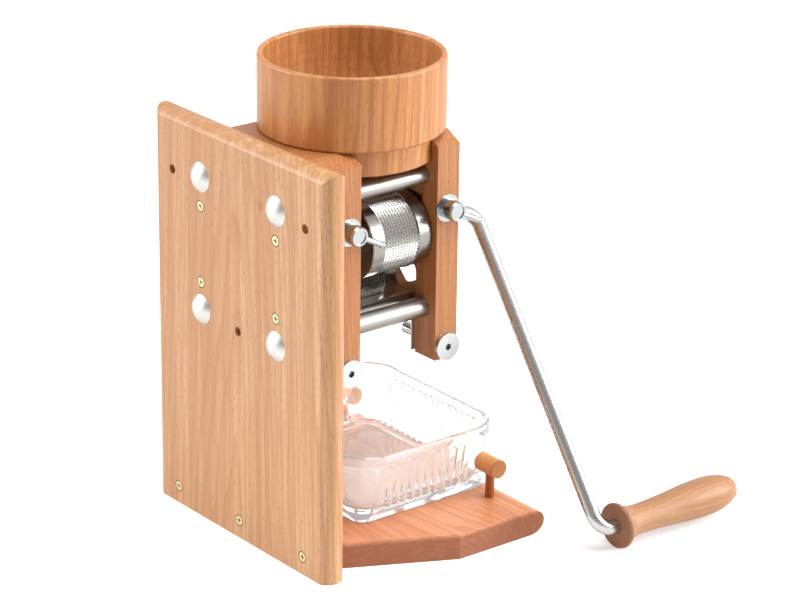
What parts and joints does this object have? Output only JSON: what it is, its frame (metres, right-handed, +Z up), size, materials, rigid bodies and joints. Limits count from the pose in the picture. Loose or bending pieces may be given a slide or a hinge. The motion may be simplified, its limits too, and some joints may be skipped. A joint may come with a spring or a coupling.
{
  "type": "hand-cranked grain flaker",
  "caption": "Wall-plate grain flaker with two steel rollers between beech plates, a round hopper, a bent crank with a turned grip, gap levers and a glass dish on a shelf.",
  "frame": {"origin": "on the resting face, the shelf's underside, under the middle of the gap between the mill's two plates", "axes": "+Z up, +Y towards the wall, the crank at the front, -Y, hanging towards -X"},
  "size_m": [0.2934, 0.2994, 0.3226],
  "materials": {
    "plate_beech": "oiled beech with an upright grain",
    "mill_beech": "oiled beech, darker than the wall plate",
    "hopper_beech": "turned and oiled beech",
    "shelf_wood": "oiled reddish wood",
    "bar_wood": "oiled dowel",
    "post_wood": "oiled dark dowel",
    "grip_wood": "turned pale wood, satin",
    "polished_steel": "polished stainless steel",
    "roller_steel": "polished stainless steel with a knurled belt",
    "scraper_steel": "polished sheet steel",
    "crank_steel": "bright zinc plated rod",
    "zinc_steel": "bright zinc plated",
    "yellow_screws": "yellow zinc plated",
    "bronze": "plain bearing bronze",
    "clear_glass": "clear pressed glass"
  },
  "bodies": {
    "frame": {"wall_plate": "plate_beech", "rear_block": "mill_beech", "front_plate": "mill_beech", "upper_rods": "polished_steel", "lower_rods": "polished_steel", "carriage_bolts": "zinc_steel", "front_bolts": "zinc_steel", "block_screws": "yellow_screws", "shelf": "shelf_wood", "shelf_screws": "zinc_steel", "stop_posts": "post_wood", "stop_bars": "bar_wood", "side_bolts": "zinc_steel", "sleeve_nuts": "zinc_steel", "near_scraper": "scraper_steel", "far_scraper": "scraper_steel", "adjuster_inserts": "zinc_steel", "idle_bushes": "bronze"},
    "bearings": {"rear_bearing_slide": "bronze", "front_bearing_slide": "bronze"},
    "drive": {"drive_shaft": "polished_steel", "drive_roller": "roller_steel", "drive_spacers": "polished_steel", "crank_rod": "crank_steel", "grip_screw": "zinc_steel"},
    "grip": {"crank_grip": "grip_wood"},
    "idle": {"idle_shaft": "polished_steel", "idle_roller": "roller_steel", "idle_spacers": "polished_steel"},
    "rear_adjusting": {"rear_adjuster": "zinc_steel", "rear_lever": "zinc_steel"},
    "front_adjusting": {"front_adjuster": "zinc_steel", "front_lever": "zinc_steel"},
    "hopper_body": {"hopper": "hopper_beech"},
    "dish_body": {"glass_dish": "clear_glass"}
  },
  "joints": [
    {"name": "gap_slide", "type": "slide", "parent": "frame", "child": "bearings", "axis": [1, 0, 0], "range_m": [-0.0008, 0.0008]},
    {"name": "crank_turn", "type": "hinge", "parent": "bearings", "child": "drive", "pos_m": [-0.0262, 0, 0.203], "axis": [0, 1, 0], "continuous": true},
    {"name": "grip_spin", "type": "hinge", "parent": "drive", "child": "grip", "pos_m": [-0.1632, -0.15, 0.016], "axis": [0, 1, 0], "continuous": true},
    {"name": "idle_spin", "type": "hinge", "parent": "frame", "child": "idle", "pos_m": [0.0262, 0, 0.203], "axis": [0, 1, 0], "continuous": true},
    {"name": "front_lever_turn", "type": "hinge", "parent": "frame", "child": "front_adjusting", "pos_m": [-0.06, -0.0405, 0.222], "axis": [1, 0, 0], "range_deg": [-60, 60]},
    {"name": "rear_lever_turn", "type": "hinge", "parent": "frame", "child": "rear_adjusting", "pos_m": [-0.06, 0.0405, 0.222], "axis": [1, 0, 0], "range_deg": [-60, 60]},
    {"name": "hopper_lift", "type": "slide", "parent": "frame", "child": "hopper_body", "axis": [0, 0, 1], "range_m": [0, 0.03]},
    {"name": "dish_lift", "type": "slide", "parent": "frame", "child": "dish_body", "axis": [0, 0, 1], "range_m": [0, 0.04]}
  ],
  "couplings": [
    {"joint": "front_lever_turn", "follows": "gap_slide", "rad_per_m": 1308.9},
    {"joint": "rear_lever_turn", "follows": "gap_slide", "rad_per_m": 1308.9},
    {"joint": "idle_spin", "follows": "crank_turn", "ratio": -1}
  ]
}
